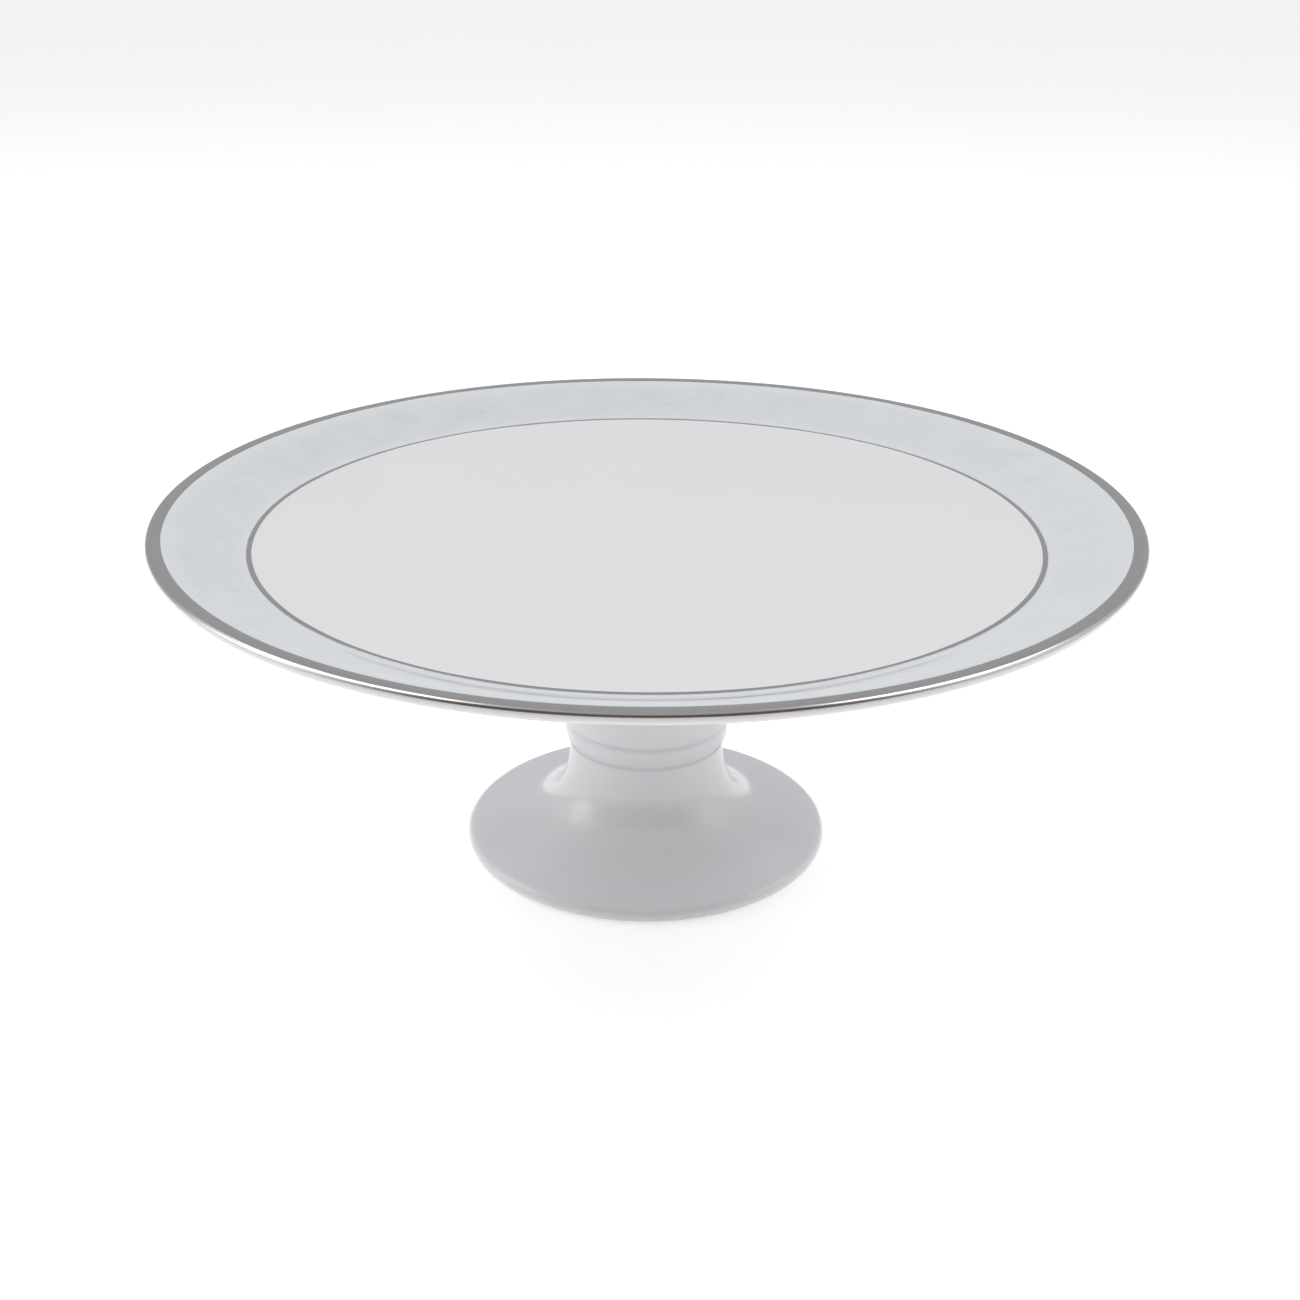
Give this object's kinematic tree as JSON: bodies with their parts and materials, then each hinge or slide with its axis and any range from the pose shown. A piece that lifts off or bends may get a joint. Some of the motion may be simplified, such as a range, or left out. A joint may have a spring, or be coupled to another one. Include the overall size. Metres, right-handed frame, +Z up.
{
  "type": "cake stand",
  "caption": "Footed cake stand in glazed porcelain: a broad shallow plate with a tinted, metal-lined rim on a hollow trumpet pedestal with a beaded stem.",
  "frame": {"origin": "on the table plane, at the middle of the foot", "axes": "+Z up along the axis of revolution; +X and +Y are any two level directions, because the stand is the same all the way round"},
  "size_m": [0.32, 0.32, 0.1231],
  "materials": {
    "porcelain": "clear gloss glaze over cool white porcelain",
    "fired_slip": "wiped slip under the same clear glaze",
    "tinted_transfer": "pale ice-blue mottled transfer fired on the glaze, gloss",
    "metal_lustre": "brushed-on platinum-coloured lustre, bright, with faint brush marks"
  },
  "bodies": {
    "root": {"plate": "porcelain", "pedestal": "porcelain", "slip_joint": "fired_slip", "rim_transfer": "tinted_transfer", "lip_band": "metal_lustre", "well_line": "metal_lustre"}
  },
  "joints": []
}
